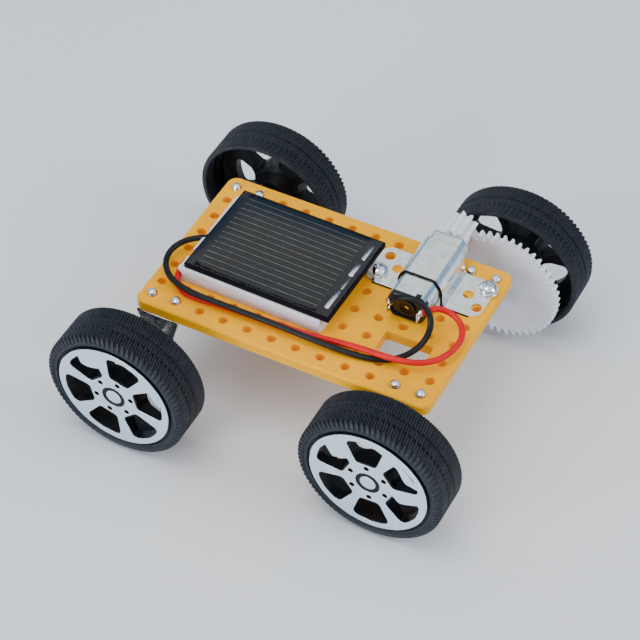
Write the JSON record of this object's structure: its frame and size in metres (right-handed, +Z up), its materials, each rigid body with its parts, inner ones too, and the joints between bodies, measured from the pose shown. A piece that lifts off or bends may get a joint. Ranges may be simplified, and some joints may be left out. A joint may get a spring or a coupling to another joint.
{
  "type": "solar-powered toy car kit",
  "caption": "Small perforated-deck car on rubber-tyred wheels, with a solar panel on foam tape wired to a flat motor that drives the rear axle through a pinion and gear.",
  "frame": {"origin": "on the floor under the centre of the car, where the tyres stand", "axes": "+X from the front axle to the driven rear axle, +Y to the gear side, +Z up"},
  "size_m": [0.0788, 0.07, 0.0309],
  "materials": {
    "deck_plastic": "soft gloss",
    "bracket_steel": "bright zinc plate",
    "screw_steel": "bright nickel plate",
    "axle_steel": "ground",
    "tyre": "matte",
    "wheel_plastic": "gloss",
    "silver_foil": "polished foil",
    "gear_nylon": "satin",
    "can_steel": "bright nickel plate",
    "black_plastic": "gloss",
    "tinned_metal": "bright solder",
    "copper": "bright copper",
    "magnet": "matte ferrite",
    "bearing_brass": "sintered",
    "core_iron": "laminated",
    "foam": "matte closed-cell foam",
    "board": "satin",
    "silicon": "dark cell with fine lines",
    "clear_epoxy": "clear gloss",
    "black_insulation": "soft satin",
    "red_insulation": "soft satin"
  },
  "bodies": {
    "chassis": {"deck": "deck_plastic", "front_left_axle_bracket": "bracket_steel", "front_right_axle_bracket": "bracket_steel", "rear_left_axle_bracket": "bracket_steel", "rear_right_axle_bracket": "bracket_steel", "front_bracket_screws": "screw_steel", "rear_bracket_screws": "screw_steel", "motor_can": "can_steel", "motor_end_cap": "black_plastic", "motor_terminals": "tinned_metal", "motor_brushes": "copper", "motor_magnets": "magnet", "motor_front_bearing": "bearing_brass", "motor_rear_bearing": "bearing_brass", "motor_clamp": "bracket_steel", "clamp_washers": "screw_steel", "clamp_screws": "screw_steel", "foam_tape_pad": "foam", "panel_board": "board", "solar_cells": "silicon", "cell_ribbons": "tinned_metal", "panel_epoxy": "clear_epoxy", "panel_solder": "tinned_metal", "terminal_solder": "tinned_metal", "black_wire": "black_insulation", "red_wire": "red_insulation"},
    "front_wheelset": {"front_axle": "axle_steel", "front_left_tyre": "tyre", "front_left_wheel": "wheel_plastic", "front_left_wheel_face": "silver_foil", "front_right_tyre": "tyre", "front_right_wheel": "wheel_plastic", "front_right_wheel_face": "silver_foil"},
    "rear_wheelset": {"rear_axle": "axle_steel", "drive_gear": "gear_nylon", "rear_left_tyre": "tyre", "rear_left_wheel": "wheel_plastic", "rear_left_wheel_face": "silver_foil", "rear_right_tyre": "tyre", "rear_right_wheel": "wheel_plastic", "rear_right_wheel_face": "silver_foil"},
    "motor_rotor": {"motor_shaft": "axle_steel", "armature_core": "core_iron", "armature_windings": "copper", "commutator": "copper", "motor_pinion": "gear_nylon"}
  },
  "joints": [
    {"name": "front_axle_spin", "type": "hinge", "parent": "chassis", "child": "front_wheelset", "pos_m": [-0.0251, 0, 0.0143], "axis": [0, 1, 0], "continuous": true},
    {"name": "rear_axle_spin", "type": "hinge", "parent": "chassis", "child": "rear_wheelset", "pos_m": [0.0251, 0, 0.0143], "axis": [0, 1, 0], "continuous": true},
    {"name": "motor_rotor_spin", "type": "hinge", "parent": "chassis", "child": "motor_rotor", "pos_m": [0.01719, 0, 0.02585], "axis": [0, 1, 0], "continuous": true}
  ],
  "couplings": [
    {"joint": "motor_rotor_spin", "follows": "rear_axle_spin", "ratio": -6}
  ]
}
